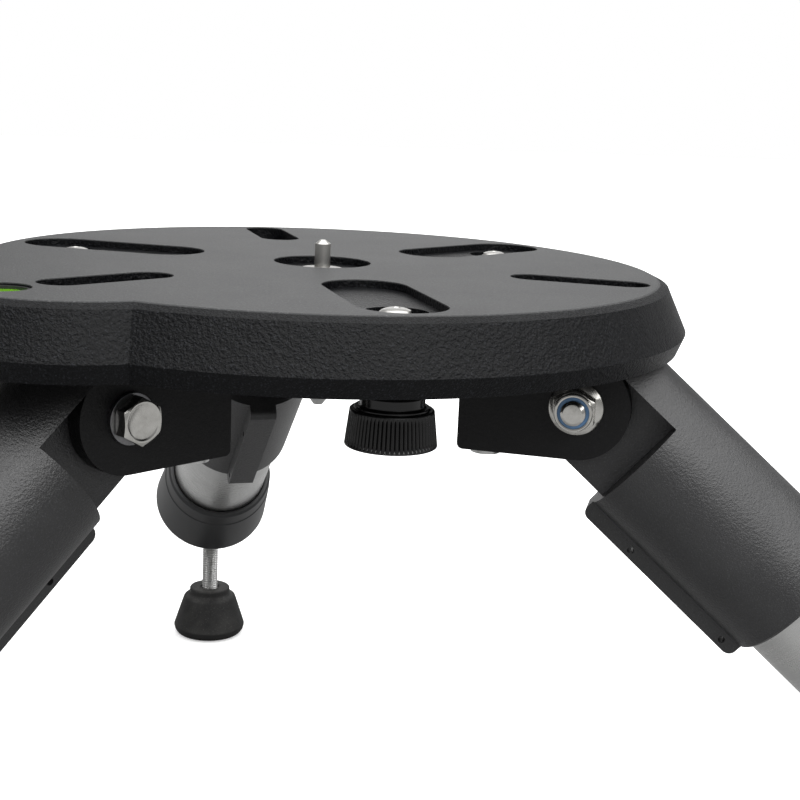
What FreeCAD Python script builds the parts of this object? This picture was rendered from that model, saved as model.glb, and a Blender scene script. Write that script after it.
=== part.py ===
import FreeCAD, Part
import math
import os

# Low three-legged camera tripod: a round slotted head plate, three folding legs
# with screw feet, and three captive mounting screws with knobs under the plate.
# Millimetres. The origin is on the centre pin's axis, level with the plate's top face.
# +Z is up; the rear leg points along +Y.

V = FreeCAD.Vector
Z_AXIS = V(0, 0, 1)
Y_AXIS = V(0, 1, 0)
ORIGIN = V(0, 0, 0)

# ---- where things sit round the head ----
LEGS = {"left": 210.0, "right": 330.0, "rear": 90.0}
SCREWS = {"front": 270.0, "back_right": 30.0, "back_left": 150.0}

# ---- head plate ----
PLATE_RIM = [(114.0, 0.0), (117.6, -1.65), (124.2, -15.5), (121.9, -21.4)]
LOBE_RIM = [(40.5, 0.0), (44.1, -1.65), (50.7, -15.5), (48.4, -21.4)]
LOBE_R = 97.0
LOBE_AZ = 210.0
PLATE_BOTTOM = -21.4
CENTRE_RECESS_R = 16.65
RECESS_DEPTH = 2.6
RECESS_WIDTH = 27.0
RECESS_INNER = 44.0
RECESS_OUTER = 110.5
SLOT_WIDTH = 15.0
SLOT_INNER = 65.4
SLOT_OUTER = 111.7
SLOT_DEPTH = 8.0
UNDER_POCKET_TOP = -13.5
UNDER_POCKET_INNER = 26.0
UNDER_POCKET_OUTER = 50.0

# ---- centre pin ----
PIN_R = 2.7
PIN_TIP = 7.5
PIN_CONE = 1.3
PIN_FLANGE_R = 6.8
PIN_FLANGE_TOP = -2.05
PIN_FLANGE_BOTTOM = -4.6
PIN_END = -29.0
PIN_NUT_TOP_R = 9.0
PIN_NUT_SHOULDER = -25.0
PIN_NUT_LOW_R = 3.8
PIN_NUT_LOW = -47.0
PIN_NUT_BOTTOM_R = 1.7
PIN_NUT_BOTTOM = -50.0

# ---- round level in the lobe ----
LEVEL_R = 124.5
LEVEL_HOLE_R = 9.0
LEVEL_HOLE_BOTTOM = -12.0
LEVEL_WALL = 1.1
LEVEL_RIM_Z = -0.8
LEVEL_LENS_TOP = -1.6
LEVEL_LIQUID_TOP = -2.6
LEVEL_FLOOR = -9.8
BUBBLE_R = 2.6
BUBBLE_DEPTH = 1.1

# ---- captive screw ----
SCREW_PCR = 92.0
SCREW_HOLE_R = 9.5
THROAT_R = 7.3
THROAT_TOP = -12.0
THROAT_BOTTOM = -14.0
LOWER_BORE_R = 9.8
BOLT_R = 5.0
BOLT_TIP = -1.2
SPIGOT_R = 7.0
SPIGOT_TOP = -9.4
SPIGOT_BOTTOM = -22.2
WASHER_R = 9.1
WASHER_BORE_R = 7.08
WASHER_T = 1.0
RING_R = 8.7
RING_GROOVE_R = 6.4
RING_T = 1.2
NECK_R = 9.5
SHOULDER_R = 11.0
SHOULDER_TOP = -29.8
GRIP_TOP = -30.5
GRIP_TOP_R = 12.3
GRIP_BOTTOM_R = 13.6
GRIP_BOTTOM = -41.4
BOLT_BOTTOM = -34.0

# ---- hinge bracket ----
PIVOT_R = 92.2
PIVOT_Z = -39.2
BRACKET_INNER = 53.5
BRACKET_ARC = 17.5
BRACKET_HALF = 17.0
CHEEK_IN = 11.2
CLEVIS_CLEAR = 17.2
BRACKET_CORNER = 2.0
FIX_R = 62.0
FIX_Y = 9.0
FIX_SHANK_R = 3.0
FIX_HEAD_R = 5.0
FIX_BORE_R = 5.4
FIX_HEAD_TOP = -51.0
FIX_HEAD_BOTTOM = -58.6
FIX_TIP = -11.5
FIX_HEX_R = 2.9

# ---- pivot bolt and flange nut ----
PIVOT_BOLT_R = 4.0
BUSH_BORE_R = 4.05
BUSH_R = 6.0
WASHER_PIVOT_R = 8.0
WASHER_PIVOT_T = 1.6
HEAD_AF = 13.0
HEAD_T = 5.3
NUT_FLANGE_R = 9.0
NUT_FLANGE_T = 1.6
NUT_END = 24.3
NUT_RING_END = 25.7
NUT_RING_R = 5.1
PIVOT_BOLT_END = 27.6

# ---- leg ----
LEG_SLOPE = 40.3
AXIS_RISE = 2.8
COLLAR_R = 25.0
TONGUE_HALF = 11.0
TONGUE_ARC = 16.5
CROWN_RISE = 18.3
SHOULDER_S = 27.0
COLLAR_END = 96.0
SOCKET_S = 40.0
STOP_GAP = 0.05
TUBE_R = 22.25
TUBE_BORE_R = 20.75
TUBE_END = 159.0
CAP_START = 143.5
CAP_END = 181.5
CAP_RIM_R = 25.2
CAP_R = 28.3
CAP_BORE_END = 159.5
FIN_HALF = 5.5
FIN_OUT = 5.0
FIN_START = 27.0
FIN_HOLES = (47.6, 90.0)
FIN_HOLE_R = 1.15

# ---- screw foot ----
FOOT_R = 230.0
ROD_R = 4.0
ROD_TOP = -134.0
ROD_BOTTOM = -212.5
ROD_BORE_R = 4.3
ROD_BORE_TOP = -126.5
INSERT_R = 6.0
INSERT_TOP = -136.0
INSERT_BORE_R = 4.06
INSERT_PROUD = 0.4
PAD_PROFILE = [(10.3, -200.2), (10.3, -203.4), (13.2, -205.0), (14.4, -208.6), (17.9, -219.2),
               (18.3, -220.6), (17.7, -222.8), (16.2, -224.6)]
PAD_BORE_R = 4.06
PAD_BORE_END = -213.5


def cylinder(radius, z_low, z_high, x=0.0, y=0.0):
    """An upright cylinder between two heights."""
    return Part.makeCylinder(radius, z_high - z_low, V(x, y, z_low), Z_AXIS)


def cross_cylinder(radius, y_low, y_high, x=0.0, z=0.0):
    """A cylinder lying along +Y."""
    return Part.makeCylinder(radius, y_high - y_low, V(x, y_low, z), Y_AXIS)


def revolve(points):
    """A solid of revolution about Z from (radius, z) points, closed to the axis."""
    ring = [V(0, 0, points[0][1])]
    ring += [V(r, 0, z) for r, z in points]
    ring += [V(0, 0, points[-1][1]), V(0, 0, points[0][1])]
    face = Part.Face(Part.makePolygon(ring))
    return face.revolve(ORIGIN, Z_AXIS, 360)


def radial_obround(inner, outer, width, z_low, z_high):
    """A slot-shaped prism along +X from one radius to another."""
    half = width / 2.0
    a = inner + half
    b = outer - half
    bar = Part.makeBox(b - a, width, z_high - z_low, V(a, -half, z_low))
    return bar.fuse([cylinder(half, z_low, z_high, a), cylinder(half, z_low, z_high, b)])


def side_prism(points, y_low, y_high):
    """A prism along Y from (x, z) points."""
    ring = [V(x, y_low, z) for x, z in points]
    face = Part.Face(Part.makePolygon(ring + [ring[0]]))
    return face.extrude(V(0, y_high - y_low, 0))


def hexagon(across_flats, y_low, y_high):
    """A hexagonal prism along Y, one corner facing up."""
    radius = across_flats / math.sqrt(3.0)
    points = []
    for k in range(6):
        angle = math.radians(60.0 * k + 30.0)
        points.append((radius * math.cos(angle), radius * math.sin(angle)))
    return side_prism(points, y_low, y_high)


def about_z(shape, angle):
    """A copy of a shape turned about the head's axis."""
    turned = shape.copy()
    turned.rotate(ORIGIN, Z_AXIS, angle)
    return turned


def at_pivot(shape, azimuth):
    """Places a shape drawn about a pivot, square to the plate, at one leg."""
    placed = shape.copy()
    placed.translate(V(PIVOT_R, 0, PIVOT_Z))
    return about_z(placed, azimuth)


def on_leg(shape, azimuth):
    """Places a shape drawn along the leg's own line at one leg."""
    sloped = shape.copy()
    sloped.rotate(ORIGIN, Y_AXIS, LEG_SLOPE)
    return at_pivot(sloped, azimuth)


def off_leg(shape):
    """Carries a shape drawn at azimuth 0 in the head's frame into the leg's own frame."""
    local = shape.copy()
    local.translate(V(-PIVOT_R, 0, -PIVOT_Z))
    local.rotate(ORIGIN, Y_AXIS, -LEG_SLOPE)
    return local


def save(name, shape):
    """Writes one node."""
    shape.exportStep("parts/" + name + ".step")


# ---------------------------------------------------------------- head

def polar(radius, azimuth):
    """X and Y of a place on the plate."""
    angle = math.radians(azimuth)
    return radius * math.cos(angle), radius * math.sin(angle)


def head_plate():
    """The round plate with its lobe, recesses, slots, bores and tapped holes."""
    lobe_x, lobe_y = polar(LOBE_R, LOBE_AZ)
    lobe = revolve(LOBE_RIM)
    lobe.translate(V(lobe_x, lobe_y, 0))
    plate = revolve(PLATE_RIM).fuse(lobe)
    cuts = [cylinder(CENTRE_RECESS_R, -RECESS_DEPTH, 1.0)]
    cuts.append(cylinder(PIN_FLANGE_R, PIN_FLANGE_BOTTOM, 0.0))
    cuts.append(cylinder(PIN_R, PLATE_BOTTOM - 1.0, 0.0))
    recess = radial_obround(RECESS_INNER, RECESS_OUTER, RECESS_WIDTH, -RECESS_DEPTH, 1.0)
    bore = cylinder(SCREW_HOLE_R, THROAT_TOP, 0.0, SCREW_PCR)
    throat = cylinder(THROAT_R, THROAT_BOTTOM - 1.0, THROAT_TOP + 1.0, SCREW_PCR)
    lower = cylinder(LOWER_BORE_R, PLATE_BOTTOM - 1.0, THROAT_BOTTOM, SCREW_PCR)
    for azimuth in SCREWS.values():
        cuts += [about_z(c, azimuth) for c in (recess, bore, throat, lower)]
    slot = radial_obround(SLOT_INNER, SLOT_OUTER, SLOT_WIDTH, -SLOT_DEPTH, 1.0)
    for azimuth in LEGS.values():
        cuts.append(about_z(slot, azimuth))
        for side in (-FIX_Y, FIX_Y):
            hole = cylinder(FIX_SHANK_R, PLATE_BOTTOM - 1.0, FIX_TIP, FIX_R, side)
            cuts.append(about_z(hole, azimuth))
    level_x, level_y = polar(LEVEL_R, LOBE_AZ)
    cuts.append(cylinder(LEVEL_HOLE_R, LEVEL_HOLE_BOTTOM, 1.0, level_x, level_y))
    for k in range(3):
        pocket = radial_obround(UNDER_POCKET_INNER, UNDER_POCKET_OUTER, 20.0,
                                PLATE_BOTTOM - 1.0, UNDER_POCKET_TOP)
        cuts.append(about_z(pocket, 30.0 + 120.0 * k))
    return plate.cut(cuts)


def centre_pin():
    """The locating pin with its flange and coned tip, threaded below."""
    pin = cylinder(PIN_R, PIN_END, PIN_TIP - PIN_CONE)
    tip = Part.makeCone(PIN_R, 0.9, PIN_CONE, V(0, 0, PIN_TIP - PIN_CONE), Z_AXIS)
    flange = cylinder(PIN_FLANGE_R, PIN_FLANGE_BOTTOM, PIN_FLANGE_TOP)
    return pin.fuse([tip, flange])


def centre_pin_nut():
    """The tapered nut that draws the pin down from below."""
    nut = revolve([(PIN_NUT_TOP_R, PLATE_BOTTOM), (PIN_NUT_TOP_R, PIN_NUT_SHOULDER),
                   (PIN_NUT_LOW_R, PIN_NUT_LOW), (PIN_NUT_BOTTOM_R, PIN_NUT_BOTTOM)])
    return nut.cut(cylinder(PIN_R, PIN_END, PLATE_BOTTOM + 1.0))


def level_parts():
    """The round level: cup, liquid, bubble and window."""
    inner = LEVEL_HOLE_R - LEVEL_WALL
    cup = cylinder(LEVEL_HOLE_R, LEVEL_HOLE_BOTTOM, LEVEL_RIM_Z)
    cup = cup.cut(cylinder(inner, LEVEL_FLOOR, 1.0))
    dome_r = (BUBBLE_R ** 2 + BUBBLE_DEPTH ** 2) / (2.0 * BUBBLE_DEPTH)
    ball = Part.makeSphere(dome_r, V(0, 0, LEVEL_LIQUID_TOP - BUBBLE_DEPTH + dome_r))
    bubble = ball.common(cylinder(BUBBLE_R + 1.0, LEVEL_LIQUID_TOP - 3.0, LEVEL_LIQUID_TOP))
    liquid = cylinder(inner, LEVEL_FLOOR, LEVEL_LIQUID_TOP).cut(bubble)
    lens = cylinder(inner, LEVEL_LIQUID_TOP, LEVEL_LENS_TOP)
    x, y = polar(LEVEL_R, LOBE_AZ)
    for shape in (cup, liquid, bubble, lens):
        shape.translate(V(x, y, 0))
    return {"level_housing": cup, "level_liquid": liquid, "level_bubble": bubble, "level_lens": lens}


def hinge_bracket():
    """One clevis: a block under the plate with two cheeks round the pivot."""
    top = PLATE_BOTTOM - PIVOT_Z
    inner = BRACKET_INNER - PIVOT_R
    block = Part.makeBox(-inner, 2 * BRACKET_HALF, top + BRACKET_ARC, V(inner, -BRACKET_HALF, -BRACKET_ARC))
    edges = [e for e in block.Edges if e.BoundBox.XMax < inner + 0.01 and e.BoundBox.ZMax < -BRACKET_ARC + 0.01]
    block = block.makeFillet(BRACKET_CORNER, edges)
    block = block.fuse(cross_cylinder(BRACKET_ARC, -BRACKET_HALF, BRACKET_HALF))
    gap = Part.makeBox(60.0, 2 * CHEEK_IN, 100.0, V(-CLEVIS_CLEAR, -CHEEK_IN, -40.0))
    cuts = [gap, cross_cylinder(PIVOT_BOLT_R, -BRACKET_HALF - 1.0, BRACKET_HALF + 1.0)]
    for side in (-FIX_Y, FIX_Y):
        x = FIX_R - PIVOT_R
        cuts.append(cylinder(FIX_SHANK_R, -BRACKET_ARC - 1.0, top + 1.0, x, side))
        cuts.append(cylinder(FIX_BORE_R, -BRACKET_ARC - 5.0, FIX_HEAD_TOP - PIVOT_Z, x, side))
    return block.cut(cuts)


def fixing_screw(x, y):
    """One socket screw that holds a bracket up to the plate."""
    screw = cylinder(FIX_SHANK_R, FIX_HEAD_TOP - 1.0, FIX_TIP - 0.4, x, y)
    head = cylinder(FIX_HEAD_R, FIX_HEAD_BOTTOM, FIX_HEAD_TOP, x, y)
    socket = cylinder(FIX_HEX_R, FIX_HEAD_BOTTOM - 1.0, FIX_HEAD_BOTTOM + 3.2, x, y)
    return screw.fuse(head).cut(socket)


def bracket_screws():
    """All six bracket screws as one node."""
    shapes = []
    for azimuth in LEGS.values():
        for side in (-FIX_Y, FIX_Y):
            shapes.append(about_z(fixing_screw(FIX_R, side), azimuth))
    return Part.makeCompound(shapes)


def pivot_bolt():
    """The hinge bolt: hexagon head on one side, plain end through the nut."""
    seat = BRACKET_HALF + WASHER_PIVOT_T
    shank = cross_cylinder(PIVOT_BOLT_R, -PIVOT_BOLT_END, seat + 1.0)
    head = hexagon(HEAD_AF, seat, seat + HEAD_T)
    corner = HEAD_AF / math.sqrt(3.0)
    rounding = Part.makeCone(corner + 2.4, corner - 0.9, HEAD_T + 1.0, V(0, seat - 0.6, 0), Y_AXIS)
    return shank.fuse(head.common(rounding))


def pivot_nut():
    """The flanged hexagon nut."""
    flange = Part.makeCone(NUT_FLANGE_R, NUT_FLANGE_R - 1.4, NUT_FLANGE_T, V(0, -BRACKET_HALF, 0), V(0, -1, 0))
    body = hexagon(HEAD_AF, -NUT_END, -BRACKET_HALF)
    nut = flange.fuse(body)
    collar = cross_cylinder(NUT_RING_R + 1.1, -NUT_RING_END, -NUT_END + 0.5)
    nut = nut.fuse(collar)
    nut = nut.cut(cross_cylinder(NUT_RING_R, -NUT_RING_END - 1.0, -NUT_END + 0.9))
    return nut.cut(cross_cylinder(PIVOT_BOLT_R, -40.0, 0.0))


def nut_ring():
    """The nylon locking ring in the end of a nut."""
    ring = cross_cylinder(NUT_RING_R, -NUT_RING_END + 0.2, -NUT_END + 0.9)
    return ring.cut(cross_cylinder(PIVOT_BOLT_R, -40.0, 0.0))


def pivot_washer():
    """The plain washer under a bolt head."""
    washer = cross_cylinder(WASHER_PIVOT_R, BRACKET_HALF, BRACKET_HALF + WASHER_PIVOT_T)
    return washer.cut(cross_cylinder(PIVOT_BOLT_R, 0.0, 40.0))


# ---------------------------------------------------------------- captive screw

def captive_parts():
    """Knob, bolt, retaining ring and thrust washer, drawn on their own axis."""
    grip = Part.makeCone(GRIP_BOTTOM_R, GRIP_TOP_R, GRIP_TOP - GRIP_BOTTOM, V(0, 0, GRIP_BOTTOM), Z_AXIS)
    knob = grip.fuse([cylinder(SHOULDER_R, GRIP_TOP, SHOULDER_TOP), cylinder(NECK_R, SHOULDER_TOP, SPIGOT_BOTTOM)])
    spigot = cylinder(SPIGOT_R, SPIGOT_BOTTOM, SPIGOT_TOP)
    ring_low = THROAT_TOP + WASHER_T
    groove = cylinder(SPIGOT_R + 1.0, ring_low, ring_low + RING_T)
    groove = groove.cut(cylinder(RING_GROOVE_R, ring_low - 1.0, ring_low + RING_T + 1.0))
    knob = knob.fuse(spigot).cut([groove, cylinder(BOLT_R, BOLT_BOTTOM, 0.0)])
    bolt = cylinder(BOLT_R, BOLT_BOTTOM, BOLT_TIP - 1.0)
    bolt = bolt.fuse(Part.makeCone(BOLT_R, BOLT_R - 1.0, 1.0, V(0, 0, BOLT_TIP - 1.0), Z_AXIS))
    bolt = bolt.cut(Part.makeBox(1.6, 7.0, 1.2, V(-0.8, -3.5, BOLT_TIP - 1.2)))
    ring = cylinder(RING_R, ring_low, ring_low + RING_T)
    ring = ring.cut(cylinder(RING_GROOVE_R, ring_low - 1.0, ring_low + RING_T + 1.0))
    washer = cylinder(WASHER_R, THROAT_TOP, THROAT_TOP + WASHER_T)
    washer = washer.cut(cylinder(WASHER_BORE_R, THROAT_TOP - 1.0, THROAT_TOP + 3.0))
    return {"knob": knob, "captive_bolt": bolt, "retaining_ring": ring, "captive_washer": washer}


# ---------------------------------------------------------------- leg

def leg_bar(radius, s_low, s_high, rise=AXIS_RISE):
    """A cylinder on the leg's line, in the leg's own frame."""
    return Part.makeCylinder(radius, s_high - s_low, V(s_low, 0, rise), V(1, 0, 0))


def leg_top():
    """The part of the collar inboard of its shoulder: the tongue and the crown above the cheeks."""
    slope = math.radians(LEG_SLOPE)
    up = (-math.sin(slope), math.cos(slope))
    head = leg_bar(COLLAR_R, -25.0, SHOULDER_S)
    tongue = side_prism([(SHOULDER_S, -TONGUE_ARC), (0.0, -TONGUE_ARC), (0.0, 0.0),
                         (42.0 * up[0], 42.0 * up[1]), (SHOULDER_S, 42.0 * up[1])],
                        -TONGUE_HALF, TONGUE_HALF)
    tongue = tongue.fuse(cross_cylinder(TONGUE_ARC, -TONGUE_HALF, TONGUE_HALF))
    crown = side_prism([(SHOULDER_S, CROWN_RISE), (0.0, CROWN_RISE), (CROWN_RISE * up[0] / up[1], CROWN_RISE),
                        (42.0 * up[0], 42.0 * up[1]), (SHOULDER_S, 42.0 * up[1])],
                       -COLLAR_R - 1.0, COLLAR_R + 1.0)
    shape = head.common(tongue).fuse(head.common(crown))
    slab = Part.makeBox(200.0, 120.0, 60.0, V(40.0, -60.0, PLATE_BOTTOM - STOP_GAP))
    return shape.cut(off_leg(slab))


def leg_fin():
    """The rib under the collar, rounded at both ends, with two cross holes."""
    bottom = AXIS_RISE - COLLAR_R - FIN_OUT
    fin = Part.makeBox(COLLAR_END - FIN_START, 2 * FIN_HALF, FIN_OUT + 6.0, V(FIN_START, -FIN_HALF, bottom))
    ends = [e for e in fin.Edges if abs(e.BoundBox.ZMax - bottom) < 0.01 and e.BoundBox.YLength > 5.0]
    fin = fin.makeFillet(3.0, ends)
    for s in FIN_HOLES:
        fin = fin.cut(cross_cylinder(FIN_HOLE_R, -20.0, 20.0, s, bottom + 2.6))
    return fin


def leg_collar():
    """The cast collar: tongue, crown, tube socket and rib."""
    body = leg_bar(COLLAR_R, SHOULDER_S, COLLAR_END)
    edges = [e for e in body.Edges if e.BoundBox.XMin > COLLAR_END - 0.01]
    body = body.makeChamfer(0.8, edges)
    body = body.fuse([leg_top(), leg_fin()])
    body = body.cut(leg_bar(TUBE_R, SOCKET_S, COLLAR_END + 1.0))
    return body.cut(cross_cylinder(BUSH_R, -20.0, 20.0))


def pivot_bush():
    """The flangeless bush pressed into the tongue."""
    bush = cross_cylinder(BUSH_R, -TONGUE_HALF, TONGUE_HALF)
    return bush.cut(cross_cylinder(BUSH_BORE_R, -20.0, 20.0))


def leg_tube():
    """The stainless tube."""
    return leg_bar(TUBE_R, SOCKET_S, TUBE_END).cut(leg_bar(TUBE_BORE_R, SOCKET_S - 1.0, TUBE_END + 1.0))


def leg_end_cap():
    """The plastic cap on the tube's end, bored upright for the screw foot."""
    cap = Part.makeCone(CAP_RIM_R, CAP_R, CAP_END - CAP_START, V(CAP_START, 0, AXIS_RISE), V(1, 0, 0))
    rims = [e for e in cap.Edges if e.BoundBox.XLength < 0.01 and e.BoundBox.XMin > CAP_END - 0.01]
    cap = cap.makeFillet(2.2, rims)
    rims = [e for e in cap.Edges if e.BoundBox.XLength < 0.01 and e.BoundBox.XMax < CAP_START + 0.01]
    cap = cap.makeChamfer(1.2, rims)
    cap = cap.cut(leg_bar(TUBE_R, CAP_START - 1.0, CAP_BORE_END))
    cap = cap.cut(off_leg(cylinder(INSERT_R, -190.0, INSERT_TOP, FOOT_R)))
    return cap.cut(off_leg(cylinder(ROD_BORE_R, -190.0, ROD_BORE_TOP, FOOT_R)))


def foot_insert():
    """The threaded sleeve in the cap that the foot's rod turns in."""
    sleeve = off_leg(cylinder(INSERT_R, -190.0, INSERT_TOP, FOOT_R))
    sleeve = sleeve.cut(off_leg(cylinder(INSERT_BORE_R, -191.0, INSERT_TOP + 1.0, FOOT_R)))
    keep = Part.makeBox(100.0, 100.0, 160.0, V(CAP_END + INSERT_PROUD - 100.0, -50.0, -80.0))
    return sleeve.common(keep)


# ---------------------------------------------------------------- foot

def foot_rod():
    """The upright screwed rod, chamfered at its hidden top."""
    rod = cylinder(ROD_R, ROD_BOTTOM, ROD_TOP - 0.8, FOOT_R)
    return rod.fuse(Part.makeCone(ROD_R, ROD_R - 0.8, 0.8, V(FOOT_R, 0, ROD_TOP - 0.8), Z_AXIS))


def foot_pad():
    """The rubber foot: a short collar on a flaring skirt."""
    pad = revolve(PAD_PROFILE)
    pad.translate(V(FOOT_R, 0, 0))
    return pad.cut(cylinder(PAD_BORE_R, PAD_BORE_END, 0.0, FOOT_R))


# ---------------------------------------------------------------- all nodes

def main():
    """Builds and writes every node."""
    os.makedirs("parts", exist_ok=True)
    save("head_plate", head_plate())
    save("centre_pin", centre_pin())
    save("centre_pin_nut", centre_pin_nut())
    for name, shape in level_parts().items():
        save(name, shape)
    save("bracket_screws", bracket_screws())
    rings = []
    washers = []
    for side, azimuth in LEGS.items():
        save("hinge_bracket_" + side, at_pivot(hinge_bracket(), azimuth))
        save("pivot_bolt_" + side, at_pivot(pivot_bolt(), azimuth))
        save("pivot_nut_" + side, at_pivot(pivot_nut(), azimuth))
        rings.append(at_pivot(nut_ring(), azimuth))
        washers.append(at_pivot(pivot_washer(), azimuth))
        save("leg_collar_" + side, on_leg(leg_collar(), azimuth))
        save("leg_tube_" + side, on_leg(leg_tube(), azimuth))
        save("leg_end_cap_" + side, on_leg(leg_end_cap(), azimuth))
        save("foot_insert_" + side, on_leg(foot_insert(), azimuth))
        save("pivot_bush_" + side, on_leg(pivot_bush(), azimuth))
        save("foot_rod_" + side, about_z(foot_rod(), azimuth))
        save("foot_pad_" + side, about_z(foot_pad(), azimuth))
    save("pivot_nut_rings", Part.makeCompound(rings))
    save("pivot_washers", Part.makeCompound(washers))
    for place, azimuth in SCREWS.items():
        for name, shape in captive_parts().items():
            moved = shape.copy()
            moved.translate(V(SCREW_PCR, 0, 0))
            save(name + "_" + place, about_z(moved, azimuth))


main()
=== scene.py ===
import functools
import logging
import math
from dataclasses import dataclass, field
from enum import Enum
from typing import Callable, Optional, Sequence

import bpy
import numpy as np
from mathutils import Matrix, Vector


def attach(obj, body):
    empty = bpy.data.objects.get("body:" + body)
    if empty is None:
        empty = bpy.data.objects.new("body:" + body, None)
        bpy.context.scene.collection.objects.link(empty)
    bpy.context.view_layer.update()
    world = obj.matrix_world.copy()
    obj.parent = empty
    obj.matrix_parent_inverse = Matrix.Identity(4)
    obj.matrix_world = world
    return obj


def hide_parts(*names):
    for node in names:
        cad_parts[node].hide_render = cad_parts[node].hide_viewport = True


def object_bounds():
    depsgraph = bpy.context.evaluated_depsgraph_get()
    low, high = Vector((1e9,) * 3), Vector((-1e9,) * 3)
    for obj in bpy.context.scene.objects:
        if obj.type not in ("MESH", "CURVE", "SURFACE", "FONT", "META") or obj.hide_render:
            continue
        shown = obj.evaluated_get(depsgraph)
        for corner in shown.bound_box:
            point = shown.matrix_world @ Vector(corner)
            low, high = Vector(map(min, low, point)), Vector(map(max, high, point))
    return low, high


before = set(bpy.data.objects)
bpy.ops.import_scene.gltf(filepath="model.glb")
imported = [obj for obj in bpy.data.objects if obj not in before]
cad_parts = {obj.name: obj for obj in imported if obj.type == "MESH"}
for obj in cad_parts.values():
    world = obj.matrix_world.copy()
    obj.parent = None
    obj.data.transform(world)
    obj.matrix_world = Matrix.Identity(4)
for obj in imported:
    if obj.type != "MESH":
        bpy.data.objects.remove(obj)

LOG = logging.getLogger("tripod")
MM = 0.001
CAD_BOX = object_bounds()


# ------------------------------------------------------------------ names

class Spoke(Enum):
    """A choice among alike parts set round the head, each with its azimuth in degrees."""

    @property
    def word(self) -> str:
        """The choice's name as the CAD nodes spell it."""
        return self.name.lower()


class Leg(Spoke):
    """The three legs."""

    LEFT = 210.0
    RIGHT = 330.0
    REAR = 90.0


class Place(Spoke):
    """The three captive screws."""

    FRONT = 270.0
    BACK_RIGHT = 30.0
    BACK_LEFT = 150.0


# ------------------------------------------------------------------ placing

@dataclass(frozen=True)
class Seat:
    """A place for a turned piece: an origin and three unit directions, in metres in the row frame."""

    origin: np.ndarray
    across: np.ndarray
    beside: np.ndarray
    along: np.ndarray

    def carry(self, points: np.ndarray) -> np.ndarray:
        """Carries points in millimetres into the row frame.

        Each point becomes origin + x * across + y * beside + z * along.

        Args:
            points: an array whose last axis holds x, y and z in millimetres.

        Returns:
            The same array in metres in the row frame.
        """
        basis = np.stack([self.across, self.beside, self.along])
        return self.origin + (points * MM) @ basis


def radial(azimuth: float) -> np.ndarray:
    """The level unit direction pointing outwards at an azimuth in degrees."""
    turn = math.radians(azimuth)
    return np.array([math.cos(turn), math.sin(turn), 0.0])


def tangent(azimuth: float) -> np.ndarray:
    """The level unit direction a quarter turn on from the outward one."""
    return radial(azimuth + 90.0)


def upright(azimuth: float, radius: float) -> Seat:
    """A seat on an upright axis at a radius in millimetres from the head's axis."""
    return Seat(radial(azimuth) * radius * MM, radial(azimuth), tangent(azimuth), np.array([0.0, 0.0, 1.0]))


@dataclass(frozen=True)
class HingeLine:
    """Where a leg turns and how its own line runs from there, as the CAD part has them."""

    leg: Leg
    radius: float = 92.2
    height: float = -39.2
    slope: float = 40.3
    rise: float = 2.8

    def pivot(self) -> np.ndarray:
        """The middle of the hinge bolt, in metres."""
        return radial(self.leg.value) * self.radius * MM + np.array([0.0, 0.0, self.height * MM])

    def bolt_seat(self) -> Seat:
        """A seat whose long direction is the hinge bolt's, head side positive."""
        side = tangent(self.leg.value)
        return Seat(self.pivot(), radial(self.leg.value), np.array([0.0, 0.0, -1.0]), side)

    def leg_seat(self) -> Seat:
        """A seat whose long direction runs down the leg's own line."""
        turn = math.radians(self.slope)
        out = radial(self.leg.value)
        up = np.array([0.0, 0.0, 1.0])
        down_leg = out * math.cos(turn) - up * math.sin(turn)
        away = out * math.sin(turn) + up * math.cos(turn)
        return Seat(self.pivot() + away * self.rise * MM, tangent(self.leg.value), away, down_leg)


def add_object(name: str, data: bpy.types.ID, turn: Optional[Matrix] = None) -> bpy.types.Object:
    """Makes an object and links it to the scene.

    Args:
        name: the object's name.
        data: its mesh, lamp or lens.
        turn: optional; where it stands, for what is not part of the model.

    Returns:
        The object.
    """
    holder = bpy.data.objects.new(name, data)
    if turn is not None:
        holder.matrix_world = turn
    bpy.context.scene.collection.objects.link(holder)
    return holder


def report(*pieces: bpy.types.Object) -> None:
    """Logs each new piece with its count of faces."""
    for piece in pieces:
        LOG.info("%s: %d faces", piece.name, len(piece.data.polygons))


# ------------------------------------------------------------------ surfaces

Reshape = Callable[[np.ndarray, np.ndarray, np.ndarray], np.ndarray]


def straight(radius: float, heights: np.ndarray) -> np.ndarray:
    """A run of profile points at one radius, one for each height."""
    return np.stack([np.full(heights.shape, radius), heights], axis=-1)


def rounded_profile(points: Sequence[tuple[float, float]], radius: float = 0.5, steps: int = 4) -> np.ndarray:
    """Rounds the inner corners of an open profile.

    A corner P between A and B is replaced by a quadratic curve from P moved towards A to P moved towards B,
    (1-t)^2 start + 2 t (1-t) P + t^2 end, with one holding point just beyond each end of the curve.

    Args:
        points: (radius, height) corners in millimetres.
        radius: how far from the corner the curve starts; at most 0.4 of either side is used.
        steps: how many spans the curve has.

    Returns:
        The finer profile, one row per point.
    """
    corner = np.asarray(points, float)
    before, here, after = corner[:-2], corner[1:-1], corner[2:]
    to_before, to_after = before - here, after - here
    length_before = np.linalg.norm(to_before, axis=1, keepdims=True)
    length_after = np.linalg.norm(to_after, axis=1, keepdims=True)
    reach = np.minimum(radius, 0.4 * np.minimum(length_before, length_after))
    start = here + to_before / length_before * reach
    end = here + to_after / length_after * reach
    t = np.linspace(0.0, 1.0, steps + 1)[None, :, None]
    curve = (1 - t) ** 2 * start[:, None] + 2 * t * (1 - t) * here[:, None] + t ** 2 * end[:, None]
    hold = 0.15
    lead = (start + to_before / length_before * reach * hold)[:, None]
    trail = (end + to_after / length_after * reach * hold)[:, None]
    middle = np.concatenate([lead, curve, trail], axis=1).reshape(-1, 2)
    return np.concatenate([corner[:1], middle, corner[-1:]])


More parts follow.
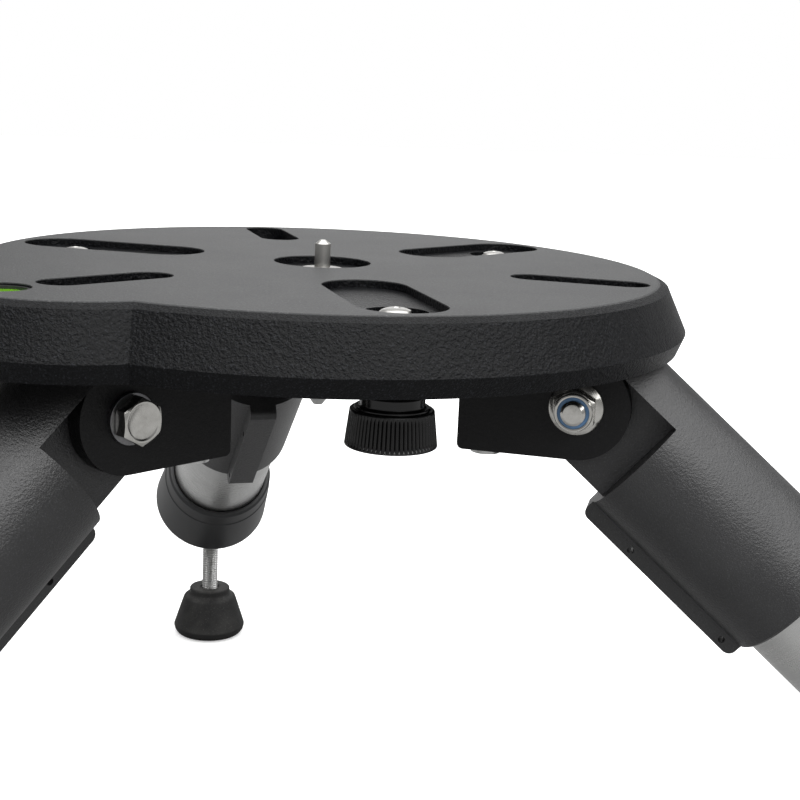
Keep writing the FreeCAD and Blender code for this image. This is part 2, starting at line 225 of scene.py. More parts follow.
@dataclass
class Surface:
    """A closed surface round an axis: rows of points from pole to pole, each row a full turn."""

    name: str
    rows: np.ndarray

    def build(self, seat: Seat, sharp_above: float = 32.0) -> bpy.types.Object:
        """Makes the object, with both ends drawn to a single point and a UV map in metres.

        Vertex (row, column) sits at the row's own point for that angle; neighbours make quads, and the
        first and last rows shrink to poles that close the piece with fans.

        Args:
            seat: where the piece goes.
            sharp_above: edges that turn more than this many degrees are kept crisp.

        Returns:
            The new object, linked to the scene.
        """
        count, columns = self.rows.shape[:2]
        placed = seat.carry(self.rows)
        poles = placed[[0, -1]].mean(axis=1)
        body = placed[1:-1].reshape(-1, 3)
        vertices = np.concatenate([body, poles])
        ring = np.arange(columns)
        following = (ring + 1) % columns
        row = np.arange(count - 3)[:, None] * columns
        above = row + columns
        quads = np.stack([row + ring, row + following, above + following, above + ring], axis=-1).reshape(-1, 4)
        low, high = len(body), len(body) + 1
        top_row = (count - 3) * columns
        first = np.stack([np.full(columns, low), following, ring], axis=-1)
        last = np.stack([top_row + ring, top_row + following, np.full(columns, high)], axis=-1)
        mesh = bpy.data.meshes.new(self.name)
        mesh.from_pydata(vertices.tolist(), [], quads.tolist() + first.tolist() + last.tolist())
        self._lay_uv(mesh, count, columns)
        mesh.polygons.foreach_set("use_smooth", np.ones(len(mesh.polygons), dtype=bool))
        mesh.set_sharp_from_angle(angle=math.radians(sharp_above))
        mesh.update()
        piece = add_object(self.name, mesh)
        if signed_volume(mesh) < 0.0:
            mesh.flip_normals()
        return piece

    def _lay_uv(self, mesh: bpy.types.Mesh, count: int, columns: int) -> None:
        """Writes the UV map: u is the distance round at the mean radius, v the distance along the profile.

        Args:
            mesh: the mesh made by build.
            count: rows of points.
            columns: points in each row.
        """
        radii = np.linalg.norm(self.rows[..., :2], axis=-1)
        girth = 2.0 * math.pi * float(radii.mean()) * MM
        steps = np.linalg.norm(np.diff(self.rows[:, 0], axis=0), axis=-1)
        along = np.concatenate([[0.0], np.cumsum(steps)]) * MM
        ring = np.arange(columns)
        row = np.repeat(np.arange(1, count - 2), columns)
        column = np.tile(ring, count - 3)
        quad_u = np.stack([column, column + 1, column + 1, column], axis=-1).ravel()
        quad_v = np.stack([row, row, row + 1, row + 1], axis=-1).ravel()
        fan_u = np.stack([ring + 0.5, ring + 1.0, ring + 0.0], axis=-1).ravel()
        fan_v = np.tile([0, 1, 1], columns)
        end_u = np.stack([ring + 0.0, ring + 1.0, ring + 0.5], axis=-1).ravel()
        end_v = np.tile([count - 2, count - 2, count - 1], columns)
        u = np.concatenate([quad_u, fan_u, end_u]) / columns * girth
        v = along[np.concatenate([quad_v, fan_v, end_v])]
        layer = mesh.uv_layers.new(name="skin")
        layer.data.foreach_set("uv", np.stack([u, v], axis=-1).ravel())


def signed_volume(mesh: bpy.types.Mesh) -> float:
    """The volume a closed mesh holds, negative when its faces point inwards.

    It is the sum over triangles of a dot (b cross c), over six.

    Args:
        mesh: a closed mesh.

    Returns:
        The signed volume in cubic metres.
    """
    mesh.calc_loop_triangles()
    points = np.empty(len(mesh.vertices) * 3)
    mesh.vertices.foreach_get("co", points)
    corners = np.empty(len(mesh.loop_triangles) * 3, dtype=np.int32)
    mesh.loop_triangles.foreach_get("vertices", corners)
    a, b, c = np.moveaxis(points.reshape(-1, 3)[corners.reshape(-1, 3)], 1, 0)
    return float(np.einsum("ij,ij->i", a, np.cross(b, c)).sum() / 6.0)


def turned(profile: np.ndarray, columns: int = 96, reshape: Optional[Reshape] = None) -> np.ndarray:
    """A lathe surface: x = r cos a, y = r sin a, z as the profile gives it.

    Args:
        profile: (radius, height) rows in millimetres, the first and last on the axis.
        columns: points in a full turn.
        reshape: optional; takes radius, angle and height as whole arrays and returns the new radius.

    Returns:
        Rows of points, shaped (rows, columns, 3).
    """
    angle = np.arange(columns) / columns * 2.0 * math.pi
    radius = np.repeat(profile[:, :1], columns, axis=1)
    height = np.repeat(profile[:, 1:], columns, axis=1)
    around = np.broadcast_to(angle, radius.shape)
    if reshape is not None:
        radius = reshape(radius, around, height)
    return np.stack([radius * np.cos(around), radius * np.sin(around), height], axis=-1)


@dataclass(frozen=True)
class Thread:
    """An outside screw thread cut into a turned bar."""

    radius: float
    pitch: float
    depth: float
    per_pitch: int = 7
    crest: float = 0.86
    flank: float = 0.76

    def heights(self, low: float, high: float) -> np.ndarray:
        """Even heights fine enough to draw every turn of the thread."""
        return np.linspace(low, high, max(8, int((high - low) / self.pitch * self.per_pitch)))

    def cut(self, radius: np.ndarray, angle: np.ndarray, height: np.ndarray) -> np.ndarray:
        """Cuts the groove into a surface.

        The phase is height over pitch less angle over a full turn. The groove is a V with flat crests: its
        depth falls in step with the distance from the middle of each turn, to nothing on the crest.

        Args:
            radius: the bar's radius at each point.
            angle: the angle round the bar.
            height: the height along it.

        Returns:
            The radius with the groove taken off.
        """
        phase = height / self.pitch - angle / (2.0 * math.pi)
        away = np.abs(phase - np.round(phase)) * 2.0
        groove = np.clip((self.crest - away) / self.flank, 0.0, 1.0) * self.depth
        under = np.minimum(radius, self.radius - groove)
        return np.where(radius > self.radius * 0.99, radius - groove, under)

    def on_bar(self, least: float) -> Reshape:
        """A reshape that cuts the thread where the radius is over a least value, and leaves the rest."""

        def cut(radius: np.ndarray, angle: np.ndarray, height: np.ndarray) -> np.ndarray:
            """Cuts the thread on the bar alone."""
            return np.where(radius > least, self.cut(radius, angle, height), radius)

        return cut


def hexagon_radius(angle: np.ndarray, across: float) -> np.ndarray:
    """The distance from the middle to a hexagon's side.

    It is half the width over the cosine of the angle from that side.

    Args:
        angle: the direction in radians.
        across: the width across flats.

    Returns:
        The distance in each direction.
    """
    third = math.pi / 3.0
    off = np.mod(angle + third / 2.0, third) - third / 2.0
    return across / 2.0 / np.cos(off)


# ------------------------------------------------------------------ shader parts

class Nodes:
    """A small helper that lays out one node tree."""

    def __init__(self, tree: bpy.types.NodeTree) -> None:
        """Keeps the tree to build in."""
        self.tree = tree

    def add(self, kind: str, **settings: object) -> bpy.types.Node:
        """Adds a node and sets its plain properties.

        Args:
            kind: the node's type name.
            settings: attribute values.

        Returns:
            The node.
        """
        node = self.tree.nodes.new(kind)
        for key, value in settings.items():
            setattr(node, key, value)
        return node

    def link(self, source: bpy.types.NodeSocket, target: bpy.types.NodeSocket) -> None:
        """Joins two sockets."""
        self.tree.links.new(source, target)

    def feed(self, value: object, target: bpy.types.NodeSocket) -> None:
        """Gives an input its value: a socket is joined, a triple or a number is set."""
        if isinstance(value, bpy.types.NodeSocket):
            self.link(value, target)
        else:
            target.default_value = (*value, 1.0) if isinstance(value, tuple) else float(value)

    def fill(self, node: bpy.types.Node, **values: object) -> None:
        """Feeds a node's inputs by name; an underscore in a name stands for a space."""
        for key, value in values.items():
            self.feed(value, node.inputs[key.replace("_", " ")])

    @classmethod
    def cleared(cls, owner: bpy.types.ID) -> "Nodes":
        """Starts an empty node tree on a material or a world."""
        owner.use_nodes = True
        owner.node_tree.nodes.clear()
        return cls(owner.node_tree)

    def ramp(self, source: bpy.types.NodeSocket, low: float, high: float,
             to_low: float = 0.0, to_high: float = 1.0) -> bpy.types.NodeSocket:
        """Maps a value from one span to another, held at the ends.

        Args:
            source: the value.
            low: where the span starts.
            high: where it ends.
            to_low: the result at the start.
            to_high: the result at the end.

        Returns:
            The mapped value's socket.
        """
        node = self.add("ShaderNodeMapRange", clamp=True)
        self.fill(node, From_Min=low, From_Max=high, To_Min=to_low, To_Max=to_high, Value=source)
        return node.outputs["Result"]

    def math(self, operation: str, first: object, second: object) -> bpy.types.NodeSocket:
        """A sum, product or the like of two values, each a socket or a number.

        Args:
            operation: the Math node's operation.
            first: the first value.
            second: the second value.

        Returns:
            The result's socket.
        """
        node = self.add("ShaderNodeMath", operation=operation)
        self.feed(first, node.inputs[0])
        self.feed(second, node.inputs[1])
        return node.outputs[0]

    def mix(self, factor: object, first: object, second: object) -> bpy.types.NodeSocket:
        """Mixes two colours, each a socket or a triple.

        Args:
            factor: how much of the second, a socket or a number.
            first: the first colour.
            second: the second colour.

        Returns:
            The mixed colour's socket.
        """
        node = self.add("ShaderNodeMix", data_type="RGBA")
        sockets = [s for s in node.inputs if s.type == "RGBA"]
        self.feed(factor, node.inputs[0])
        for socket, value in zip(sockets, (first, second)):
            self.feed(value, socket)
        return [s for s in node.outputs if s.type == "RGBA"][0]

    def noise(self, where: bpy.types.NodeSocket, scale: object, detail: float = 3.0,
              roughness: float = 0.5) -> bpy.types.NodeSocket:
        """A noise value at a place, its scale a socket or a number of cells per metre.

        Args:
            where: the coordinates.
            scale: cells per metre.
            detail: octaves.
            roughness: how strong the finer octaves are.

        Returns:
            The noise value's socket.
        """
        node = self.add("ShaderNodeTexNoise")
        self.fill(node, Detail=detail, Roughness=roughness, Scale=scale, Vector=where)
        return node.outputs["Fac"]


class Effects:
    """Shader groups shared by the finishes, each built once."""

    @staticmethod
    def _start(name: str, inputs: dict[str, float], outputs: Sequence[str]
               ) -> tuple[bpy.types.NodeTree, Nodes, bpy.types.Node, bpy.types.Node]:
        """Starts a group that takes coordinates and numbers, and puts out numbers.

        Args:
            name: the group's name.
            inputs: the starting value of each number it takes.
            outputs: the name of each number it puts out.

        Returns:
            The tree, its helper, and the nodes that hold its inputs and outputs.
        """
        tree = bpy.data.node_groups.new(name, "ShaderNodeTree")
        tree.interface.new_socket(name="Vector", in_out="INPUT", socket_type="NodeSocketVector")
        for label, value in inputs.items():
            socket = tree.interface.new_socket(name=label, in_out="INPUT", socket_type="NodeSocketFloat")
            socket.default_value = value
        for label in outputs:
            tree.interface.new_socket(name=label, in_out="OUTPUT", socket_type="NodeSocketFloat")
        nodes = Nodes(tree)
        return tree, nodes, nodes.add("NodeGroupInput"), nodes.add("NodeGroupOutput")

    @staticmethod
    @functools.cache
    def coat_grain() -> bpy.types.NodeTree:
        """The skin of a sprayed powder: close bumps, a few larger ripples and scattered pale specks."""
        tree, nodes, start, end = Effects._start(
            "coat_grain", {"Grain": 1500.0, "Ripple": 420.0, "Ripple share": 0.4},
            ("Height", "Speck", "Patch"))
        fine = nodes.noise(start.outputs["Vector"], start.outputs["Grain"], 2.0, 0.6)
        ripple = nodes.noise(start.outputs["Vector"], start.outputs["Ripple"], 1.5, 0.4)
        ripple = nodes.ramp(ripple, 0.32, 0.68)
        part = nodes.math("MULTIPLY", ripple, start.outputs["Ripple share"])
        nodes.link(nodes.math("ADD", fine, part), end.inputs["Height"])
        nodes.link(nodes.ramp(fine, 0.56, 0.72), end.inputs["Speck"])
        nodes.link(nodes.noise(start.outputs["Vector"], 18.0, 3.0, 0.6), end.inputs["Patch"])
        return tree

    @staticmethod
    @functools.cache
    def dust() -> bpy.types.NodeTree:
        """A mask for dust and light scuffs: strongest on faces that look up, broken by noise."""
        tree, nodes, start, end = Effects._start("dust", {"Amount": 0.2}, ("Mask",))
        normal = nodes.add("ShaderNodeNewGeometry")
        apart = nodes.add("ShaderNodeSeparateXYZ")
        nodes.link(normal.outputs["Normal"], apart.inputs[0])
        up = nodes.ramp(apart.outputs["Z"], -0.2, 1.0, 0.15, 1.0)
        cloud = nodes.ramp(nodes.noise(start.outputs["Vector"], 46.0, 5.0, 0.68), 0.42, 0.74)
        speck = nodes.ramp(nodes.noise(start.outputs["Vector"], 2400.0, 1.0, 0.5), 0.66, 0.72)
        both = nodes.math("ADD", nodes.math("MULTIPLY", cloud, 0.6), speck)
        mask = nodes.math("MULTIPLY", nodes.math("MULTIPLY", both, up), start.outputs["Amount"])
        nodes.link(mask, end.inputs["Mask"])
        return tree

    @staticmethod
    @functools.cache
    def tool_marks() -> bpy.types.NodeTree:
        """Fine drawn or turned lines: noise squeezed hard along one direction, with deeper scratches."""
        tree, nodes, start, end = Effects._start(
            "tool_marks", {"Across": 3000.0, "Along": 40.0}, ("Height", "Streak"))
        apart = nodes.add("ShaderNodeSeparateXYZ")
        nodes.link(start.outputs["Vector"], apart.inputs[0])
        join = nodes.add("ShaderNodeCombineXYZ")
        for axis, squeeze in (("X", "Along"), ("Y", "Across"), ("Z", "Across")):
            nodes.link(nodes.math("MULTIPLY", apart.outputs[axis], start.outputs[squeeze]), join.inputs[axis])
        lines = nodes.noise(join.outputs[0], 1.0, 4.0, 0.65)
        deep = nodes.noise(join.outputs[0], 0.23, 2.0, 0.5)
        nodes.link(nodes.math("ADD", lines, nodes.math("MULTIPLY", deep, 0.5)), end.inputs["Height"])
        nodes.link(nodes.ramp(lines, 0.3, 0.7), end.inputs["Streak"])
        return tree


@dataclass(frozen=True)
class Finish:
    """What every finish has: a name, a main colour and the shader's own fixed values."""

    name: str
    colour: tuple[float, float, float]
    rough: float = 0.4
    metal: float = 0.0
    gloss: float = 0.5

    def _open(self, surface_coordinates: bool = False
              ) -> tuple[bpy.types.Material, Nodes, bpy.types.Node, bpy.types.NodeSocket]:
        """Starts a material with its shader and coordinates.

        Args:
            surface_coordinates: True to read the piece's own UV map, False for Object coordinates.

        Returns:
            The material, its helper, the Principled shader and the coordinates' socket.
        """
        material = bpy.data.materials.new(self.name)
        nodes = Nodes.cleared(material)
        shader = nodes.add("ShaderNodeBsdfPrincipled")
        nodes.fill(shader, Metallic=self.metal, Roughness=self.rough, Specular_IOR_Level=self.gloss,
                   Base_Color=self.colour)
        output = nodes.add("ShaderNodeOutputMaterial")
        nodes.link(shader.outputs[0], output.inputs["Surface"])
        if surface_coordinates:
            where = nodes.add("ShaderNodeUVMap", uv_map="skin").outputs["UV"]
        else:
            where = nodes.add("ShaderNodeTexCoord").outputs["Object"]
        return material, nodes, shader, where

    @staticmethod
    def _group(nodes: Nodes, tree: bpy.types.NodeTree, where: bpy.types.NodeSocket,
               **values: float) -> bpy.types.Node:
        """Places a shared group and sets its values.

        Args:
            nodes: the material's helper.
            tree: the group.
            where: the coordinates.
            values: input values; an underscore stands for a space.

        Returns:
            The group's node.
        """
        node = nodes.add("ShaderNodeGroup", node_tree=tree)
        nodes.fill(node, Vector=where, **values)
        return node

    @staticmethod
    def _bump(nodes: Nodes, shader: bpy.types.Node, height: bpy.types.NodeSocket, strength: float,
              distance: float) -> None:
        """Joins a height to the shader's normal.

        Args:
            nodes: the material's helper.
            shader: the Principled shader.
            height: the height's socket.
            strength: the bump's strength.
            distance: the bump's depth in metres.
        """
        bump = nodes.add("ShaderNodeBump")
        nodes.fill(bump, Strength=strength, Distance=distance, Height=height)
        nodes.link(bump.outputs["Normal"], shader.inputs["Normal"])


@dataclass(frozen=True)
class PowderCoat(Finish):
    """Sprayed powder on a casting, with its own grain, pale specks and a little dust."""

    speck: tuple[float, float, float] = (0.12, 0.125, 0.13)
    grain: float = 1500.0
    ripple: float = 420.0
    ripple_share: float = 0.4
    depth: float = 0.00006
    strength: float = 0.5
    dusty: float = 0.12
    sheen_rough: float = 0.1
    dust_colour: tuple[float, float, float] = (0.3, 0.3, 0.29)

    def make(self) -> bpy.types.Material:
        """Builds the material."""
        material, nodes, shader, where = self._open()
        coat = self._group(nodes, Effects.coat_grain(), where, Grain=self.grain, Ripple=self.ripple,
                           Ripple_share=self.ripple_share)
        dust = self._group(nodes, Effects.dust(), where, Amount=self.dusty)
        base = nodes.mix(nodes.ramp(coat.outputs["Speck"], 0.0, 1.0, 0.0, 0.55), self.colour, self.speck)
        base = nodes.mix(nodes.ramp(coat.outputs["Patch"], 0.3, 0.7, 0.0, 0.22), base, self.speck)
        base = nodes.mix(dust.outputs["Mask"], base, self.dust_colour)
        nodes.link(base, shader.inputs["Base Color"])
        rough = nodes.ramp(coat.outputs["Patch"], 0.3, 0.7, self.rough - self.sheen_rough / 2,
                           self.rough + self.sheen_rough / 2)
        nodes.link(rough, shader.inputs["Roughness"])
        self._bump(nodes, shader, coat.outputs["Height"], self.strength, self.depth)
        return material


@dataclass(frozen=True)
class PlateCoat(Finish):
    """The head's coat: fine grain on the flat top, coarser orange-peel on the wall below it; the top's much
    paler colour is painted light from above on the one coat.
    """

    top: tuple[float, float, float] = (0.046, 0.0465, 0.047)
    wall_speck: tuple[float, float, float] = (0.028, 0.03, 0.036)
    lit_top_speck: tuple[float, float, float] = (0.13, 0.132, 0.134)
    dust_colour: tuple[float, float, float] = (0.32, 0.32, 0.31)
    rim: float = -0.00025
    rim_blur: float = 0.00012
    depth: float = 0.0003

    def make(self) -> bpy.types.Material:
        """Builds the material; the height above or below the rim picks between the two skins, the paler top
        colour being painted light.
        """
        material, nodes, shader, where = self._open()
        apart = nodes.add("ShaderNodeSeparateXYZ")
        nodes.link(where, apart.inputs[0])
        on_top = nodes.ramp(apart.outputs["Z"], self.rim - self.rim_blur, self.rim + self.rim_blur)
        wall = self._group(nodes, Effects.coat_grain(), where, Grain=1900.0, Ripple=900.0, Ripple_share=0.5)
        face = self._group(nodes, Effects.coat_grain(), where, Grain=1500.0, Ripple=700.0, Ripple_share=0.3)
        dust = self._group(nodes, Effects.dust(), where, Amount=0.02)
        wall_share = nodes.ramp(wall.outputs["Speck"], 0.0, 1.0, 0.0, 0.6)
        wall_colour = nodes.mix(wall_share, self.colour, self.wall_speck)
        # painted light: the top and its specks are painted far paler than the wall's coat, as if lit from above
        lit_top_colour = nodes.mix(nodes.ramp(face.outputs["Speck"], 0.0, 1.0), self.top, self.lit_top_speck)
        patch_share = nodes.ramp(face.outputs["Patch"], 0.3, 0.7, 0.0, 0.16)
        lit_top_colour = nodes.mix(patch_share, lit_top_colour, self.lit_top_speck)
        colour = nodes.mix(on_top, wall_colour, lit_top_colour)
        colour = nodes.mix(dust.outputs["Mask"], colour, self.dust_colour)
        nodes.link(colour, shader.inputs["Base Color"])
        rough = nodes.ramp(on_top, 0.0, 1.0, 0.34, 0.5)
        nodes.link(nodes.math("ADD", rough, nodes.ramp(face.outputs["Patch"], 0.3, 0.7, -0.04, 0.05)),
                   shader.inputs["Roughness"])
        height = nodes.add("ShaderNodeMix", data_type="FLOAT")
        nodes.link(on_top, height.inputs[0])
        nodes.link(wall.outputs["Height"], height.inputs[2])
        nodes.link(nodes.math("MULTIPLY", face.outputs["Height"], 0.4), height.inputs[3])
        self._bump(nodes, shader, height.outputs[0], 1.0, self.depth)
        return material


@dataclass(frozen=True)
class WorkedSteel(Finish):
    """Bare metal with drawn or turned lines, slight stains and a soft gloss."""

    tint: tuple[float, float, float] = (0.42, 0.42, 0.42)
    across: float = 3000.0
    along: float = 40.0
    follows_skin: bool = False
    strength: float = 0.25

    def make(self) -> bpy.types.Material:
        """Builds the material."""
        material, nodes, shader, where = self._open(self.follows_skin)
        marks = self._group(nodes, Effects.tool_marks(), where, Across=self.across, Along=self.along)
        stain = nodes.noise(where, 60.0, 4.0, 0.6)
        base = nodes.mix(nodes.ramp(marks.outputs["Streak"], 0.0, 1.0, 0.0, 0.35), self.colour, self.tint)
        base = nodes.mix(nodes.ramp(stain, 0.45, 0.8, 0.0, 0.35), base, self.tint)
        nodes.link(base, shader.inputs["Base Color"])
        streaky = nodes.ramp(marks.outputs["Streak"], 0.0, 1.0, self.rough - 0.05, self.rough + 0.07)
        rough = nodes.math("ADD", streaky, nodes.ramp(stain, 0.4, 0.8, 0.0, 0.08))
        nodes.link(rough, shader.inputs["Roughness"])
        self._bump(nodes, shader, marks.outputs["Height"], self.strength, 0.00001)
        return material


@dataclass(frozen=True)
class Moulded(Finish):
    """Moulded plastic or rubber: a fine tooling texture, faint flow marks and handling dust."""

    pale: tuple[float, float, float] = (0.1, 0.1, 0.1)
    grain: float = 2200.0
    depth: float = 0.00003
    strength: float = 0.3
    dusty: float = 0.15
    dust_colour: tuple[float, float, float] = (0.33, 0.32, 0.3)
    coat: float = 0.0
    coat_rough: float = 0.08

    def make(self) -> bpy.types.Material:
        """Builds the material."""
        material, nodes, shader, where = self._open()
        skin = self._group(nodes, Effects.coat_grain(), where, Grain=self.grain, Ripple=self.grain / 5.0,
                           Ripple_share=0.15)
        dust = self._group(nodes, Effects.dust(), where, Amount=self.dusty)
        base = nodes.mix(nodes.ramp(skin.outputs["Patch"], 0.3, 0.72, 0.0, 0.4), self.colour, self.pale)
        base = nodes.mix(dust.outputs["Mask"], base, self.dust_colour)
        nodes.link(base, shader.inputs["Base Color"])
        patchy = nodes.ramp(skin.outputs["Patch"], 0.3, 0.7, self.rough - 0.04, self.rough + 0.06)
        rough = nodes.math("ADD", patchy, nodes.math("MULTIPLY", dust.outputs["Mask"], 0.5))
        nodes.link(rough, shader.inputs["Roughness"])
        nodes.fill(shader, Coat_Weight=self.coat, Coat_Roughness=self.coat_rough)
        self._bump(nodes, shader, skin.outputs["Height"], self.strength, self.depth)
        return material


@dataclass(frozen=True)
class Spirit(Finish):
    """The level's liquid, brightened by a painted glow, slightly deeper in tone towards its floor."""

    deep: tuple[float, float, float] = (0.3, 0.62, 0.02)
    surface_z: float = -0.0026
    floor_z: float = -0.0098
    painted_glow: float = 0.25

    def make(self) -> bpy.types.Material:
        """Builds the material."""
        material, nodes, shader, where = self._open()
        apart = nodes.add("ShaderNodeSeparateXYZ")
        nodes.link(where, apart.inputs[0])
        down = nodes.ramp(apart.outputs["Z"], self.floor_z, self.surface_z, 1.0, 0.0)
        haze = nodes.ramp(nodes.noise(where, 260.0, 2.0, 0.5), 0.35, 0.7, 0.0, 0.25)
        base = nodes.mix(nodes.math("ADD", down, haze), self.colour, self.deep)
        # painted glow: the liquid emits its own colour though it is no lamp
        nodes.fill(shader, Base_Color=base, Coat_Weight=1.0, Coat_Roughness=0.03,
                   Emission_Strength=self.painted_glow, Emission_Color=base)
        return material


@dataclass(frozen=True)
class Window(Finish):
    """The level's clear cover."""

    bending: float = 1.3

    def make(self) -> bpy.types.Material:
        """Builds the material: clear glass with faint smears in its gloss."""
        material, nodes, shader, where = self._open()
        smear = nodes.ramp(nodes.noise(where, 300.0, 3.0, 0.6), 0.4, 0.75, 0.02, 0.09)
        nodes.fill(shader, Transmission_Weight=1.0, IOR=self.bending, Roughness=smear)
        return material


class Paintbox:
    """Every finish on the object, made once and handed out by name."""

    weld_within: float = 0.000002
    soften_above: float = 28.0

    def __init__(self) -> None:
        """Makes all the materials."""
        steel = (0.62, 0.62, 0.61)
        finishes: list[Finish] = [
            PlateCoat("plate_coat", (0.002, 0.0022, 0.0027), 0.42, gloss=0.14),
            PowderCoat("collar_coat", (0.012, 0.012, 0.0125), 0.36, gloss=0.6, speck=(0.06, 0.06, 0.064),
                       grain=2300.0, ripple=1100.0, depth=0.00015, strength=0.9),
            PowderCoat("bracket_coat", (0.007, 0.007, 0.0073), 0.42, gloss=0.2, speck=(0.02, 0.02, 0.021),
                       grain=2000.0, ripple=900.0, depth=0.00015, strength=0.8, dusty=0.03),
            WorkedSteel("tube_steel", (0.66, 0.66, 0.65), 0.27, 1.0, follows_skin=True, across=3500.0,
                        along=60.0),
            WorkedSteel("pin_steel", (0.6, 0.59, 0.56), 0.3, 1.0, across=2600.0, along=900.0),
            WorkedSteel("bolt_steel", (0.66, 0.65, 0.62), 0.16, 1.0, tint=(0.36, 0.35, 0.32), across=520.0,
                        along=520.0, strength=0.3),
            WorkedSteel("screw_steel", steel, 0.3, 1.0, across=1200.0, along=1200.0, strength=0.3),
            WorkedSteel("ring_steel", (0.2, 0.2, 0.21), 0.35, 1.0, across=1500.0, along=1500.0),
            WorkedSteel("bush_bronze", (0.55, 0.38, 0.18), 0.4, 1.0, tint=(0.35, 0.25, 0.13), across=1500.0,
                        along=900.0),
            WorkedSteel("insert_brass", (0.72, 0.56, 0.27), 0.3, 1.0, tint=(0.5, 0.36, 0.15), across=1500.0,
                        along=900.0),
            Moulded("nylon_blue", (0.1, 0.22, 0.42), 0.35, pale=(0.2, 0.34, 0.5), dusty=0.03),
            Moulded("washer_plastic", (0.015, 0.015, 0.015), 0.45, pale=(0.03, 0.03, 0.03)),
            Moulded("cap_plastic", (0.018, 0.0185, 0.0195), 0.36, gloss=0.4, pale=(0.032, 0.033, 0.035),
                    grain=2600.0, strength=0.35, dusty=0.08),
            Moulded("foot_rubber", (0.008, 0.008, 0.0083), 0.6, gloss=0.3, pale=(0.035, 0.035, 0.034),
                    grain=1800.0, depth=0.00005, strength=0.5, dusty=0.25),
            Moulded("knob_gloss", (0.005, 0.005, 0.0053), 0.22, gloss=0.35, pale=(0.01, 0.01, 0.0105),
                    grain=900.0, depth=0.00001, strength=0.15, dusty=0.02, coat=0.25),
            Moulded("cup_black", (0.02, 0.02, 0.02), 0.4, pale=(0.035, 0.035, 0.035)),
            Spirit("level_spirit", (0.5, 0.86, 0.05), 0.1),
            Moulded("level_bubble", (0.75, 0.95, 0.4), 0.08, pale=(0.85, 1.0, 0.6), dusty=0.0, coat=1.0),
            Window("level_glass", (0.97, 1.0, 0.96), 0.03),
        ]
        self._kept = {finish.name: finish.make() for finish in finishes}

    def paint(self, piece: bpy.types.Object, name: str) -> None:
        """Gives a piece one finish in place of any it has.

        Args:
            piece: the object.
            name: the finish.
        """
        if not piece.material_slots:
            piece.data.materials.append(self._kept[name])
            return
        for place in piece.material_slots:
            place.material = self._kept[name]

    def paint_node(self, node: str, name: str, soften: float = 0.0) -> None:
        """Gives a CAD node its finish and, where asked, a small round on its edges.

        Args:
            node: the CAD node.
            name: the finish.
            soften: the round's width in millimetres, or nothing.
        """
        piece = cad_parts[node]
        self.paint(piece, name)
        weld = piece.modifiers.new("join", "WELD")
        weld.merge_threshold = self.weld_within
        if soften > 0.0:
            bevel = piece.modifiers.new("edge", "BEVEL")
            bevel.width = soften * MM
            bevel.segments = 3
            bevel.limit_method = "ANGLE"
            bevel.angle_limit = math.radians(self.soften_above)
            bevel.use_clamp_overlap = True
            bevel.harden_normals = False
            bevel.miter_outer = "MITER_ARC"
        crisp = piece.modifiers.new("shade", "WEIGHTED_NORMAL")
        crisp.keep_sharp = True


# ------------------------------------------------------------------ sub-assemblies

@dataclass
class Head:
    """The plate, centre pin, level and hinge brackets."""

    paints: Paintbox

    def dress(self) -> None:
        """Finishes every CAD node of the head that stays in view."""
        plan = {
            "head_plate": ("plate_coat", 0.7), "centre_pin": ("pin_steel", 0.25),
            "centre_pin_nut": ("screw_steel", 0.4), "bracket_screws": ("screw_steel", 0.35),
            "pivot_washers": ("ring_steel", 0.2), "pivot_nut_rings": ("nylon_blue", 0.15),
            "level_housing": ("cup_black", 0.25), "level_liquid": ("level_spirit", 0.0),
            "level_bubble": ("level_bubble", 0.0), "level_lens": ("level_glass", 0.0),
        }
        for leg in Leg:
            plan["hinge_bracket_" + leg.word] = ("bracket_coat", 0.8)
        for node, (name, soften) in plan.items():
            self.paints.paint_node(node, name, soften)
            LOG.info("%s: %s", node, name)


